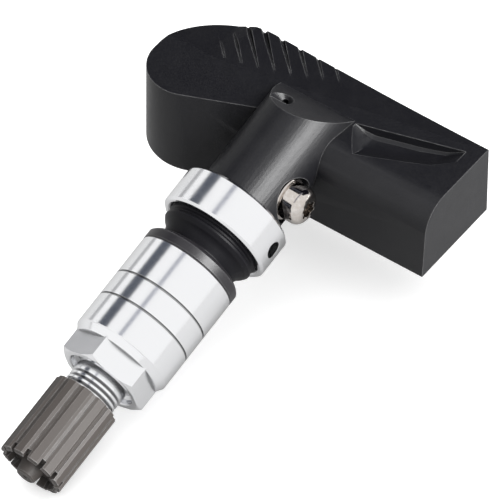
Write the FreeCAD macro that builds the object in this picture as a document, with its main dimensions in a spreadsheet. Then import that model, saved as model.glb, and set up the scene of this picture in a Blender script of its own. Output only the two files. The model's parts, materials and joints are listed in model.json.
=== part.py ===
"""Clamp-in tyre pressure sensor: a wheel-mounted housing on an aluminium valve.

Millimetres. The origin is where the valve axis crosses the rim seat. +X runs along the housing to its
flat end, +Y towards its back, and +Z is the normal of its base. The valve leaves towards -Y, dipping.
"""
import FreeCAD, Part
import math
import os

import Sketcher

Vector = FreeCAD.Vector
Rotation = FreeCAD.Rotation
Placement = FreeCAD.Placement

SIZES = {
    # Valve: distances along its axis are counted from the rim seat towards the tip
    "valve_tilt": 17.0,
    "collar_radius": 8.45,
    "collar_length": 5.9,
    "turned_edge": 0.35,
    "fine_edge": 0.15,
    "moulded_edge": 0.4,
    "seal_recess_radius": 7.35,
    "seal_recess_depth": 1.4,
    "air_hole_radius": 1.25,
    "stem_radius": 4.0,
    "stem_tip": 39.0,
    "stem_bore_radius": 1.5,
    "stem_bore_end": 0.3,
    "tail_radius": 4.1,
    "tail_length": 9.5,
    "thread_pitch": 0.794,
    "thread_depth": 0.35,
    "thread_width": 0.42,
    "thread_start": 1.2,
    # Clearances
    "running_fit": 0.05,
    "seated_fit": 0.02,
    "sliding_fit": 0.1,
    # Rim seal
    "seal_radius": 7.2,
    "seal_lip": 1.7,
    "seal_groove": 0.35,
    "seal_shank_radius": 5.65,
    "seal_cone_end": 3.6,
    "seal_cone_radius": 2.2,
    "seal_shank_end": 8.5,
    # Nut and its washer
    "washer_start": 3.95,
    "washer_thickness": 2.15,
    "washer_rear_radius": 6.25,
    "washer_rim": 1.4,
    "washer_round": 1.7,
    "nut_radius": 7.5,
    "nut_sleeve_length": 15.2,
    "nut_cone_length": 1.0,
    "nut_hex_length": 3.55,
    "nut_across_flats": 12.0,
    "nut_edge": 0.15,
    "nut_hex_chamfer": 0.8,
    "nut_chamfer_slope": 0.6,
    "nut_mouth_radius": 5.2,
    "nut_mouth_depth": 1.3,
    "nut_counterbore_length": 8.0,
    "nut_groove_width": 0.4,
    "nut_groove_depth": 0.25,
    "nut_groove_one": 6.25,
    "nut_groove_two": 10.2,
    # Cap
    "cap_engagement": 9.8,
    "cap_length": 12.75,
    "cap_radius": 4.97,
    "cap_rib_height": 0.3,
    "cap_rib_width": 2.0,
    "cap_rib_edge": 0.22,
    "cap_rib_turn": 10.0,
    "cap_rib_count": 12,
    "cap_end_depth": 1.35,
    "cap_end_wall": 0.85,
    "cap_seal_thickness": 0.55,
    "cap_nub_radius": 1.95,
    "cap_nub_rise": 1.15,
    "cap_nub_dimple": 0.45,
    "cap_notch_share": 0.28,
    # Valve core
    "core_plug_radius": 2.6,
    "core_plug_length": 3.6,
    "core_plug_depth": 0.4,
    "core_slot_depth": 1.4,
    "core_slot_share": 0.42,
    "core_edge": 0.2,
    "core_barrel_radius": 1.85,
    "core_barrel_wall": 0.45,
    "core_chamber_radius": 2.1,
    "core_barrel_length": 8.0,
    "core_chamber_run": 3.2,
    "core_seal_groove": 0.25,
    "core_seal_run": 2.5,
    "core_seal_top": 0.7,
    "core_pin_radius": 0.35,
    "core_pin_clearance": 0.35,
    "core_pin_stand": 0.35,
    "core_foot_rim": 0.3,
    "core_foot_thickness": 0.25,
    "core_cup_height": 1.6,
    "core_spring_seat": 1.2,
    "core_spring_stop": 2.1,
    "core_spring_wire": 0.13,
    "core_spring_turns": 7,
    # Housing
    "housing_yaw": 2.1,
    "base_level": -4.4,
    "housing_height": 12.3,
    "right_end": 25.3,
    "front_wall": 14.4,
    "front_draft": 0.7,
    "step_place": 0.0,
    "left_end_top": -23.9,
    "left_end_base": -23.6,
    "lobe_radius_top": 6.0,
    "lobe_radius_base": 7.7,
    "lobe_centre_top": 18.9,
    "lobe_centre_base": 18.8,
    "back_radius": 11.5,
    "back_top": 31.4,
    "back_base": 31.5,
    "back_slope": 2.0,
    "slant_angle": 23.0,
    "housing_wall": 1.5,
    "ceiling_thickness": 3.2,
    "front_roll": 4.5,
    "neck_radius": 6.35,
    "neck_length": 22.0,
    "neck_top_length": 13.3,
    "neck_cut_angle": 45.0,
    "neck_clearance": 2.2,
    "neck_side_clearance": 0.3,
    "cover_thickness": 1.2,
    "cover_ledge": 0.7,
    "post_radius": 0.9,
    # Ridge: its distance back and the fall behind it, at places along the housing
    "ridge_x_1": -26.0,
    "ridge_y_1": 21.9,
    "ridge_drop_1": 2.0,
    "ridge_x_2": -17.5,
    "ridge_y_2": 22.1,
    "ridge_drop_2": 1.6,
    "ridge_x_3": -15.0,
    "ridge_y_3": 22.2,
    "ridge_drop_3": 0.8,
    "ridge_x_4": 10.0,
    "ridge_y_4": 26.6,
    "ridge_drop_4": 0.75,
    "ridge_x_5": 27.0,
    "ridge_y_5": 29.9,
    "ridge_drop_5": 0.4,
    # Ribs behind the ridge
    "rib_count": 8,
    "rib_groove_x": -14.7,
    "rib_groove_y": 23.0,
    "rib_step_x": 2.5,
    "rib_step_y": 0.565,
    "rib_groove_floor": 0.1,
    "rib_groove_rise": 2.0,
    "rib_groove_flare": 0.56,
    "rib_groove_fall": 0.19,
    "rib_groove_length": 16.0,
    # Scoop in the right half: depth, width and floor radius at shares of its length
    "scoop_left": 7.6,
    "scoop_length": 15.4,
    "scoop_wall_y": 23.4,
    "scoop_slant": 16.3,
    "scoop_wall_foot": 0.15,
    "scoop_share_1": 0.0,
    "scoop_depth_1": 0.12,
    "scoop_width_1": 0.9,
    "scoop_floor_1": 40.0,
    "scoop_share_2": 0.09,
    "scoop_depth_2": 1.0,
    "scoop_width_2": 3.4,
    "scoop_floor_2": 12.0,
    "scoop_share_3": 0.19,
    "scoop_depth_3": 1.5,
    "scoop_width_3": 6.0,
    "scoop_floor_3": 10.0,
    "scoop_share_4": 0.61,
    "scoop_depth_4": 1.6,
    "scoop_width_4": 5.0,
    "scoop_floor_4": 9.0,
    "scoop_share_5": 0.84,
    "scoop_depth_5": 1.2,
    "scoop_width_5": 4.3,
    "scoop_floor_5": 10.0,
    "scoop_share_6": 1.0,
    "scoop_depth_6": 0.12,
    "scoop_width_6": 2.6,
    "scoop_floor_6": 40.0,
    # Fixing screw
    "screw_place": 4.64,
    "screw_radius": 1.5,
    "screw_seat": 5.0,
    "screw_head_radius": 2.75,
    "screw_head_height": 3.3,
    "screw_head_edge": 1.3,
    "screw_head_round": 1.45,
    "screw_seat_margin": 0.25,
    "screw_length": 9.2,
    "screw_recess_radius": 1.05,
    "screw_recess_lobe": 0.34,
    "screw_recess_depth": 1.5,
    "screw_washer_radius": 3.25,
    "screw_washer_thickness": 0.6,
    "screw_hole_clearance": 0.1,
    # Electronics
    "board_height": 3.2,
    "board_thickness": 0.8,
    "board_gap": 0.4,
    "cell_radius": 6.25,
    "cell_thickness": 2.5,
    "cell_step": 0.5,
    "cell_lid_margin": 0.9,
    "cell_from_left": 10.15,
    "cell_from_back": 8.52,
    "tab_thickness": 0.15,
    "tab_width": 1.8,
    "tab_spacing": 3.2,
    "port_x": -2.3,
    "port_clearance": 2.17,
    "port_radius": 0.5,
    "port_dish_radius": 1.45,
    "port_dish_depth": 0.9,
    "gasket_radius": 1.6,
    "chip_size": 4.6,
    "chip_offset": 0.7,
    "chip_height": 1.9,
    "chip_length": 1.6,
    "capacitor_height": 0.8,
    "resistor_height": 0.5,
    "part_row_back": 26.0,
    "crystal_length": 3.2,
    "crystal_width": 2.5,
    "crystal_height": 0.9,
    "coil_x": 13.0,
    "coil_y": 24.5,
    "coil_length": 8.0,
    "coil_width": 2.6,
    "coil_height": 2.4,
    "coil_flange": 1.0,
    "coil_web": 1.2,
    "antenna_height": 2.6,
    "antenna_bend": 1.2,
    "antenna_wire": 0.35,
    "antenna_start": 8.5,
    "antenna_end": 3.3,
    "antenna_from_back": 4.1,
}

RIDGE_SECTIONS = 5
SCOOP_SECTIONS = 6

# Posts under the board: the end that each is measured from, its distance from it, and its y
POSTS = (
    ("left", 4.4, 21.0),
    ("left", 15.4, 27.0),
    ("right", 15.3, 20.5),
    ("right", 4.3, 20.0),
    ("right", 4.3, 26.0),
)

# Places of the small chips on the board
CAPACITORS = ((3.4, 25.8), (10.0, 21.0), (13.0, 21.0))
RESISTORS = ((16.0, 21.0), (18.5, 21.0), (2.2, 22.0))


class Size:
    """A length or a count that carries its value and the sheet expression that it comes from."""

    def __init__(self, value, text):
        self.value = float(value)
        self.text = text

    @staticmethod
    def of(item):
        return item if isinstance(item, Size) else Size(item, repr(float(item)))

    def join(self, other, sign, value):
        return Size(value, f"({self.text} {sign} {Size.of(other).text})")

    def __add__(self, other):
        return self.join(other, "+", self.value + Size.of(other).value)

    def __sub__(self, other):
        return self.join(other, "-", self.value - Size.of(other).value)

    def __mul__(self, other):
        return self.join(other, "*", self.value * Size.of(other).value)

    def __truediv__(self, other):
        return self.join(other, "/", self.value / Size.of(other).value)

    def __radd__(self, other):
        return Size.of(other) + self

    def __rsub__(self, other):
        return Size.of(other) - self

    def __rmul__(self, other):
        return Size.of(other) * self

    def __neg__(self):
        return Size(-self.value, f"(0 - {self.text})")


def sine(angle):
    return Size(math.sin(math.radians(angle.value)), f"sin({angle.text} * 1 deg)")


def cosine(angle):
    return Size(math.cos(math.radians(angle.value)), f"cos({angle.text} * 1 deg)")


def tangent(angle):
    return Size(math.tan(math.radians(angle.value)), f"tan({angle.text} * 1 deg)")


doc = FreeCAD.newDocument("PressureSensor")
sheet = doc.addObject("Spreadsheet::Sheet", "Sizes")


def write_sheet():
    for row, (name, value) in enumerate(SIZES.items(), start=1):
        sheet.set(f"A{row}", name)
        sheet.set(f"B{row}", str(value))
        sheet.setAlias(f"B{row}", name)
    doc.recompute()


class Sheet:
    """Reads a size from the sheet by its name, and knows the few places that follow from others."""

    def __getattr__(self, name):
        return Size(sheet.get(name), f"Sizes.{name}")

    def numbered(self, name, number):
        return getattr(self, f"{name}_{number}")

    @property
    def nut_start(self):
        return self.washer_start + self.washer_thickness

    @property
    def nut_front(self):
        return self.nut_start + self.nut_sleeve_length + self.nut_cone_length + self.nut_hex_length

    @property
    def cap_start(self):
        return self.stem_tip - self.cap_engagement

    @property
    def top_level(self):
        return self.base_level + self.housing_height

    @property
    def ceiling_level(self):
        return self.top_level - self.ceiling_thickness

    @property
    def board_level(self):
        return self.base_level + self.board_height

    @property
    def board_top(self):
        return self.board_level + self.board_thickness

    @property
    def neck_clear_y(self):
        """Where the hollow behind the neck may start, clear of the bore for the valve's tail."""
        reach = (self.collar_length + self.tail_length) * cosine(self.valve_tilt)
        return reach + self.tail_radius * sine(self.valve_tilt) + self.neck_clearance

    @property
    def port_y(self):
        return self.neck_clear_y + self.port_clearance

    @property
    def cell_x(self):
        return self.left_end_top + self.cell_from_left

    @property
    def cell_y(self):
        return self.back_top - self.cell_from_back

    @property
    def antenna_y(self):
        return self.back_top - self.antenna_from_back


write_sheet()
d = Sheet()
sub_parts = []

# ---------------------------------------------------------------- placements

tilt = d.valve_tilt.value
VALVE = Placement(Vector(0, 0, 0), Rotation(Vector(1, 0, 0), 90 + tilt))
HOUSING = Placement(Vector(0, 0, 0), Rotation(Vector(0, 0, 1), d.housing_yaw.value))


def on_valve(distance):
    """The point of the valve axis at a distance from the rim seat, towards the tip."""
    return VALVE.multVec(Vector(0, 0, distance))


def in_housing(placement):
    """The same placement, seen from the housing's own axes."""
    return HOUSING.inverse().multiply(placement)


SCREW_DISTANCE = -(d.collar_length + d.screw_place)
SCREW = Placement(on_valve(SCREW_DISTANCE.value), Rotation(Vector(0, 1, 0), 90))

# ---------------------------------------------------------------- modelling helpers


def new_body(label, placement):
    body = doc.addObject("PartDesign::Body", label)
    body.Label = label
    body.Placement = placement
    sub_parts.append(body)
    return body


def origin_plane(body, role):
    return next(item for item in body.Origin.OriginFeatures if item.Role == role)


def new_sketch(body, name, role="XY_Plane", offset=None, level=None):
    """A sketch on one of the body's origin planes, moved by an offset or to a level along its normal."""
    sketch = body.newObject("Sketcher::SketchObject", name)
    sketch.AttachmentSupport = [(origin_plane(body, role), "")]
    sketch.MapMode = "FlatFace"
    if offset is not None:
        sketch.AttachmentOffset = offset
    if level is not None:
        sketch.setExpression("AttachmentOffset.Base.z", level.text)
    return sketch


def bind(owner, prop, size):
    """Give a property its value and tie it to the sheet."""
    size = Size.of(size)
    setattr(owner, prop, size.value)
    owner.setExpression(prop, size.text)


def constrain(sketch, kind, *items):
    *places, size = items
    size = Size.of(size)
    index = sketch.addConstraint(Sketcher.Constraint(kind, *places, size.value))
    sketch.setExpression(f"Constraints[{index}]", size.text)


def draw_outline(sketch, corners, arcs=None):
    """A closed outline through the corners. arcs gives {corner index: radius} for the side that starts
    there; a positive radius bulges to the right of the way from that corner to the next."""
    arcs = arcs or {}
    count = len(corners)
    spots = [(Size.of(across), Size.of(up)) for across, up in corners]
    first = sketch.GeometryCount
    for index, (across, up) in enumerate(spots):
        start = Vector(across.value, up.value, 0)
        following = spots[(index + 1) % count]
        end = Vector(following[0].value, following[1].value, 0)
        if index in arcs:
            sketch.addGeometry(bulged_side(start, end, Size.of(arcs[index]).value), False)
        else:
            sketch.addGeometry(Part.LineSegment(start, end), False)
    for index in range(count):
        here, after = first + index, first + (index + 1) % count
        here_end = 1 if reversed_arc(arcs, index) else 2
        after_start = 2 if reversed_arc(arcs, (index + 1) % count) else 1
        sketch.addConstraint(Sketcher.Constraint("Coincident", here, here_end, after, after_start))
    for index, (across, up) in enumerate(spots):
        start = 2 if reversed_arc(arcs, index) else 1
        constrain(sketch, "DistanceX", -1, 1, first + index, start, across)
        constrain(sketch, "DistanceY", -1, 1, first + index, start, up)
    for index, radius in arcs.items():
        radius = Size.of(radius)
        constrain(sketch, "Radius", first + index, radius if radius.value > 0 else -radius)


def reversed_arc(arcs, index):
    """A sketch arc always runs anticlockwise, so one that bulges to the left is drawn backwards."""
    return index in arcs and Size.of(arcs[index]).value < 0


def bulged_side(start, end, radius):
    chord = end.sub(start)
    half = chord.Length / 2
    reach = math.sqrt(max(radius * radius - half * half, 0))
    right = Vector(chord.y, -chord.x, 0).normalize()
    side = 1 if radius > 0 else -1
    centre = start.add(chord.multiply(0.5)).sub(right.multiply(side * reach))
    from_start = math.atan2(start.y - centre.y, start.x - centre.x)
    from_end = math.atan2(end.y - centre.y, end.x - centre.x)
    circle = Part.Circle(centre, Vector(0, 0, 1), abs(radius))
    if radius > 0:
        return Part.ArcOfCircle(circle, from_start, from_end)
    return Part.ArcOfCircle(circle, from_end, from_start)


def draw_circle(sketch, across, up, radius):
    across, up, radius = Size.of(across), Size.of(up), Size.of(radius)
    circle = Part.Circle(Vector(across.value, up.value, 0), Vector(0, 0, 1), radius.value)
    index = sketch.addGeometry(circle, False)
    constrain(sketch, "DistanceX", -1, 1, index, 3, across)
    constrain(sketch, "DistanceY", -1, 1, index, 3, up)
    constrain(sketch, "Radius", index, radius)


def add_revolution(body, name, corners, arcs=None):
    """A profile of (radius, height) corners turned about the body's own Z axis."""
    sketch = new_sketch(body, f"{name}_profile", "XZ_Plane")
    draw_outline(sketch, corners, arcs)
    feature = body.newObject("PartDesign::Revolution", name)
    feature.Profile = sketch
    feature.ReferenceAxis = (sketch, ["V_Axis"])
    feature.Angle = 360
    sketch.Visibility = False
    doc.recompute()
    return feature


def add_groove(body, name, corners, arcs=None):
    sketch = new_sketch(body, f"{name}_profile", "XZ_Plane")
    draw_outline(sketch, corners, arcs)
    before = body.Shape.Volume
    feature = body.newObject("PartDesign::Groove", name)
    feature.Profile = sketch
    feature.ReferenceAxis = (sketch, ["V_Axis"])
    feature.Angle = 360
    finish_cut(body, name, before)
    return feature


def finish_cut(body, name, before):
    doc.recompute()
    if body.Shape.Volume >= before - 1e-6:
        raise RuntimeError(f"{name} cuts nothing")


def pad(body, name, sketch, length, midplane=False):
    feature = body.newObject("PartDesign::Pad", name)
    feature.Profile = sketch
    bind(feature, "Length", length)
    feature.Midplane = midplane
    doc.recompute()
    return feature


def pocket(body, name, sketch, length, turned=False, midplane=False):
    """Cut along the sketch's normal turned round, or along the normal itself where turned is set."""
    before = body.Shape.Volume
    feature = body.newObject("PartDesign::Pocket", name)
    feature.Profile = sketch
    bind(feature, "Length", length)
    feature.Reversed = turned
    feature.Midplane = midplane
    finish_cut(body, name, before)
    return feature


def tube(label, placement, outer, inner, low, high):
    """A plain ring or sleeve from one height to another."""
    body = new_body(label, placement)
    add_revolution(body, "ring", [(inner, low), (outer, low), (outer, high), (inner, high)])
    return body


def block(label, x, y, z, length, depth, height):
    """A box centred on x and y that stands on z."""
    body = new_body(label, HOUSING)
    sketch = new_sketch(body, f"{label}_outline", level=Size.of(z))
    x, y = Size.of(x), Size.of(y)
    length, depth = Size.of(length), Size.of(depth)
    low_x, high_x = x - length / 2, x + length / 2
    low_y, high_y = y - depth / 2, y + depth / 2
    draw_outline(sketch, [(low_x, low_y), (high_x, low_y), (high_x, high_y), (low_x, high_y)])
    pad(body, "block", sketch, height)
    return body


# ---------------------------------------------------------------- valve


def make_valve_stem():
    body = new_body("valve_stem", VALVE)
    collar_rear = -d.collar_length
    tail_end = collar_rear - d.tail_length
    edge = d.turned_edge
    add_revolution(body, "turning", [
        (0, tail_end),
        (d.tail_radius - edge, tail_end),
        (d.tail_radius, tail_end + edge),
        (d.tail_radius, collar_rear),
        (d.collar_radius - edge, collar_rear),
        (d.collar_radius, collar_rear + edge),
        (d.collar_radius, -edge),
        (d.collar_radius - edge, 0),
        (d.seal_recess_radius + edge, 0),
        (d.seal_recess_radius, -edge),
        (d.seal_recess_radius, -d.seal_recess_depth),
        (d.stem_radius, -d.seal_recess_depth),
        (d.stem_radius, d.stem_tip - edge),
        (d.stem_radius - edge, d.stem_tip),
        (0, d.stem_tip),
    ])
    plug_seat = d.stem_tip - d.core_plug_length - d.core_plug_depth
    chamber_floor = plug_seat - d.core_barrel_length - d.core_chamber_run
    bore_end = -(d.collar_length / 2 + d.air_hole_radius + d.stem_bore_end)
    add_groove(body, "air_bore", [
        (0, bore_end),
        (d.stem_bore_radius, bore_end),
        (d.stem_bore_radius, chamber_floor - d.moulded_edge),
        (d.core_chamber_radius, chamber_floor),
        (d.core_chamber_radius, plug_seat - d.moulded_edge),
        (d.core_plug_radius + d.seated_fit, plug_seat),
        (d.core_plug_radius + d.seated_fit, d.stem_tip),
        (0, d.stem_tip),
    ])
    cut_stem_thread(body, d.nut_front + d.thread_start, edge)
    air = new_sketch(body, "air_hole_outline", "YZ_Plane")
    draw_circle(air, 0, -d.collar_length / 2, d.air_hole_radius)
    pocket(body, "air_hole", air, d.collar_radius * 3, midplane=True)
    cross = new_sketch(body, "screw_hole_outline", "YZ_Plane")
    draw_circle(cross, 0, SCREW_DISTANCE, d.screw_radius + d.seated_fit)
    pocket(body, "screw_hole", cross, d.tail_radius * 3, midplane=True)


def cut_stem_thread(body, first, edge):
    """Ring-shaped thread turns from a first one up to the tip's edge."""
    root = d.stem_radius - d.thread_depth
    half = d.thread_pitch * d.thread_width
    thread = add_groove(body, "thread_turn", [
        (root, first),
        (d.stem_radius + d.fine_edge, first - half),
        (d.stem_radius + d.fine_edge, first + half),
    ])
    run = d.stem_tip - edge - first - half
    turns = int(run.value / d.thread_pitch.value)
    pattern = body.newObject("PartDesign::LinearPattern", "thread_turns")
    pattern.Originals = [thread]
    pattern.Direction = (thread.Profile[0], ["V_Axis"])
    pattern.Occurrences = turns
    bind(pattern, "Length", d.thread_pitch * (turns - 1))
    body.Tip = pattern
    doc.recompute()


def make_rim_seal():
    body = new_body("rim_seal", VALVE)
    inner = d.stem_radius + d.seated_fit
    rear = -d.seal_recess_depth + d.seated_fit
    edge = d.moulded_edge
    bead = d.seal_lip * 0.35
    throat = d.seal_radius - d.seal_groove
    add_revolution(body, "moulding", [
        (inner, rear),
        (d.seal_radius - edge, rear),
        (d.seal_radius, rear + edge),
        (d.seal_radius, bead - edge),
        (throat, bead - d.fine_edge),
        (throat, bead + d.fine_edge),
        (d.seal_radius, bead + edge),
        (d.seal_radius, d.seal_lip - edge),
        (d.seal_radius - edge, d.seal_lip + d.fine_edge),
        (d.seal_shank_radius + edge, d.seal_cone_end - edge * 2),
        (d.seal_shank_radius, d.seal_cone_end),
        (d.seal_shank_radius, d.seal_shank_end - edge),
        (d.seal_shank_radius - edge, d.seal_shank_end),
        (inner, d.seal_shank_end),
    ], {8: -d.seal_cone_radius})


def make_nut_washer():
    body = new_body("nut_washer", VALVE)
    inner = d.seal_shank_radius + d.sliding_fit
    rear, front = d.washer_start, d.nut_start
    add_revolution(body, "moulding", [
        (inner, rear + d.fine_edge),
        (inner + d.fine_edge, rear),
        (d.washer_rear_radius, rear),
        (d.nut_radius, front - d.washer_rim),
        (d.nut_radius, front - d.fine_edge),
        (d.nut_radius - d.fine_edge, front),
        (inner, front),
    ], {2: d.washer_round})


def make_sleeve_nut():
    body = new_body("sleeve_nut", VALVE)
    rear = d.nut_start
    sleeve_end = rear + d.nut_sleeve_length
    hex_corner = d.nut_across_flats / math.sqrt(3)
    bore = d.stem_radius + d.running_fit
    edge = d.nut_edge
    add_revolution(body, "sleeve", [
        (bore, rear),
        (d.nut_radius - edge, rear),
        (d.nut_radius, rear + edge),
        (d.nut_radius, sleeve_end - edge),
        (d.nut_radius - edge, sleeve_end),
        (hex_corner - edge, sleeve_end + d.nut_cone_length),
        (bore, sleeve_end + d.nut_cone_length),
    ])
    outline = new_sketch(body, "hexagon_outline", level=sleeve_end + edge)
    angles = [math.radians(30 + 60 * step) for step in range(6)]
    draw_outline(outline, [(hex_corner * math.cos(a), hex_corner * math.sin(a)) for a in angles])
    draw_circle(outline, 0, 0, bore)
    pad(body, "hexagon", outline, d.nut_front - sleeve_end - edge)
    add_groove(body, "hexagon_chamfer", [
        (hex_corner - d.nut_hex_chamfer, d.nut_front),
        (hex_corner + edge, d.nut_front - (d.nut_hex_chamfer + edge) * d.nut_chamfer_slope),
        (hex_corner + edge, d.nut_front),
    ])
    mouth = d.nut_front - d.nut_mouth_depth
    add_groove(body, "mouth", [
        (0, mouth),
        (d.nut_mouth_radius - d.moulded_edge, mouth),
        (d.nut_mouth_radius, mouth + d.moulded_edge),
        (d.nut_mouth_radius, d.nut_front - edge),
        (d.nut_mouth_radius + edge, d.nut_front),
        (0, d.nut_front),
    ])
    sleeve_bore = d.seal_shank_radius + d.sliding_fit
    shoulder = rear + d.nut_counterbore_length
    add_groove(body, "seal_counterbore", [
        (0, rear),
        (sleeve_bore, rear),
        (sleeve_bore, shoulder - d.moulded_edge),
        (bore + d.moulded_edge, shoulder),
        (0, shoulder),
    ])
    for number, place in enumerate((d.nut_groove_one, d.nut_groove_two), start=1):
        middle = rear + place
        half = d.nut_groove_width / 2
        floor = d.nut_radius - d.nut_groove_depth
        add_groove(body, f"ring_groove_{number}", [
            (floor, middle - half / 2),
            (d.nut_radius + edge, middle - half),
            (d.nut_radius + edge, middle + half),
            (floor, middle + half / 2),
        ])


def make_cap():
    body = new_body("cap_body", VALVE)
    start = d.cap_start
    end = start + d.cap_length
    valley = d.cap_radius - d.cap_rib_height
    bore = d.stem_radius + d.running_fit
    seal_low = d.stem_tip + d.running_fit
    seal_top = seal_low + d.cap_seal_thickness
    floor = end - d.cap_end_depth
    nub_top = end + d.cap_nub_rise
    edge = d.cap_rib_edge
    add_revolution(body, "shell", [
        (0, seal_top + d.running_fit),
        (bore, seal_top + d.running_fit),
        (bore, start + edge),
        (bore + edge, start),
        (valley, start),
        (valley, end - edge),
        (valley - edge, end),
        (valley - d.cap_end_wall + edge, end),
        (valley - d.cap_end_wall, floor),
        (d.cap_nub_radius, floor),
        (d.cap_nub_radius - d.cap_nub_dimple, nub_top - edge),
        (d.cap_nub_radius - d.cap_nub_dimple - edge, nub_top),
        (d.cap_nub_dimple, nub_top),
        (0, nub_top - d.cap_nub_dimple),
    ])
    rib = new_sketch(body, "rib_outline", level=start)
    half = d.cap_rib_width / 2
    shoulder = d.cap_radius - d.cap_rib_height / 2
    draw_outline(rib, [
        (valley - edge, -half),
        (valley, -half),
        (shoulder, edge - half),
        (d.cap_radius, edge * 2 - half),
        (d.cap_radius, half - edge * 2),
        (shoulder, half - edge),
        (valley, half),
        (valley - edge, half),
    ])
    turn_sketch(rib, d.cap_rib_turn.value)
    ring_of(body, "ribs", pad(body, "rib", rib, d.cap_length - d.fine_edge), rib, d.cap_rib_count)
    notch = new_sketch(body, "end_notch_outline", level=floor + d.fine_edge)
    half = math.pi * d.cap_radius / d.cap_rib_count * d.cap_notch_share
    inside = valley - d.cap_end_wall - edge
    outside = d.cap_radius + edge
    draw_outline(notch, [(inside, -half), (outside, -half), (outside, half), (inside, half)])
    turn_sketch(notch, d.cap_rib_turn.value + 180 / d.cap_rib_count.value)
    cut = pocket(body, "end_notch", notch, d.cap_end_depth, turned=True)
    ring_of(body, "end_notches", cut, notch, d.cap_rib_count)
    tube("cap_seal", VALVE, d.stem_radius - d.running_fit, d.core_plug_radius * 0.4, seal_low, seal_top)


def turn_sketch(sketch, angle):
    base = sketch.AttachmentOffset.Base
    sketch.AttachmentOffset = Placement(base, Rotation(Vector(0, 0, 1), angle))


def ring_of(body, name, feature, sketch, count):
    """Repeat a feature evenly about the normal of its sketch."""
    pattern = body.newObject("PartDesign::PolarPattern", name)
    pattern.Originals = [feature]
    pattern.Axis = (sketch, ["N_Axis"])
    pattern.Angle = 360
    pattern.Occurrences = int(count.value)
    body.Tip = pattern
    doc.recompute()


def make_valve_core():
    plug_top = d.stem_tip - d.core_plug_depth
    plug_floor = plug_top - d.core_plug_length
    barrel_end = plug_floor - d.core_barrel_length
    pin_hole = d.core_pin_radius + d.core_pin_clearance
    hollow = d.core_barrel_radius - d.core_barrel_wall
    spring_low = barrel_end + d.core_spring_seat + d.core_spring_wire + d.seated_fit
    spring_high = plug_floor - d.core_spring_stop
    make_core_plug(plug_floor, plug_top, pin_hole)
    make_core_barrel(barrel_end, plug_floor, pin_hole, hollow)
    make_core_pin(barrel_end - d.running_fit, spring_high, plug_top, hollow)
    make_core_spring(spring_low, spring_high, (d.core_pin_radius + hollow) / 2)


def make_core_plug(plug_floor, plug_top, pin_hole):
    plug = new_body("core_plug", VALVE)
    edge = d.core_edge
    add_revolution(plug, "turning", [
        (pin_hole, plug_floor),
        (d.core_plug_radius - edge, plug_floor),
        (d.core_plug_radius, plug_floor + edge),
        (d.core_plug_radius, plug_top - edge),
        (d.core_plug_radius - edge, plug_top),
        (pin_hole, plug_top),
    ])
    slot = new_sketch(plug, "driver_slot", level=plug_top - d.core_slot_depth)
    half = d.core_plug_radius * d.core_slot_share
    far = d.core_plug_radius * 1.2
    draw_outline(slot, [(-far, half), (far, half), (far, far), (-far, far)])
    draw_outline(slot, [(-far, -far), (far, -far), (far, -half), (-far, -half)])
    pocket(plug, "driver_flats", slot, d.core_slot_depth * 2, turned=True)


def make_core_barrel(barrel_end, plug_floor, pin_hole, hollow):
    barrel = new_body("core_barrel", VALVE)
    edge = d.core_edge
    top = plug_floor - d.seated_fit
    neck = d.core_barrel_radius - d.core_seal_groove
    groove_low = plug_floor - d.core_seal_run
    seat = barrel_end + d.core_spring_seat
    add_revolution(barrel, "turning", [
        (pin_hole, barrel_end),
        (d.core_barrel_radius - edge, barrel_end),
        (d.core_barrel_radius, barrel_end + edge),
        (d.core_barrel_radius, groove_low - edge),
        (neck, groove_low),
        (neck, top),
        (pin_hole, top),
        (pin_hole, top - d.core_spring_seat),
        (hollow, top - d.core_spring_seat - edge),
        (hollow, seat),
        (pin_hole, seat),
    ])
    tube("core_barrel_seal", VALVE, d.core_chamber_radius - d.seated_fit, neck + d.seated_fit,
         groove_low + edge, plug_floor - d.core_seal_top)


def make_core_pin(seal_face, spring_high, plug_top, hollow):
    foot = seal_face - d.core_cup_height
    foot_top = foot + d.core_foot_thickness
    shoulder = spring_high + d.core_spring_wire + d.seated_fit
    collar = hollow - d.core_pin_clearance
    foot_radius = d.core_pin_radius + d.core_foot_rim
    head_radius = d.core_pin_radius + d.core_edge
    pin = new_body("core_pin", VALVE)
    add_revolution(pin, "turning", [
        (0, foot),
        (foot_radius, foot),
        (foot_radius, foot_top),
        (d.core_pin_radius, foot_top),
        (d.core_pin_radius, shoulder),
        (collar, shoulder),
        (collar, shoulder + d.core_foot_thickness),
        (d.core_pin_radius, shoulder + d.core_foot_thickness),
        (d.core_pin_radius, plug_top - d.fine_edge),
        (head_radius, plug_top),
        (head_radius, plug_top + d.core_foot_thickness),
        (d.core_pin_radius, plug_top + d.core_pin_stand),
        (0, plug_top + d.core_pin_stand),
    ])
    cup_radius = d.core_barrel_radius - d.running_fit
    inside = cup_radius - d.core_edge
    on_pin = d.core_pin_radius + d.seated_fit
    cup_low = foot_top + d.seated_fit
    cup_top = seal_face - d.core_foot_thickness
    floor = cup_low + d.core_foot_thickness
    cup = new_body("core_cup", VALVE)
    add_revolution(cup, "pressing", [
        (on_pin, cup_low),
        (cup_radius, cup_low),
        (cup_radius, cup_top),
        (inside, cup_top),
        (inside, floor),
        (on_pin, floor),
    ])
    tube("core_cup_seal", VALVE, inside - d.seated_fit, on_pin, floor + d.seated_fit, seal_face)


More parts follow.
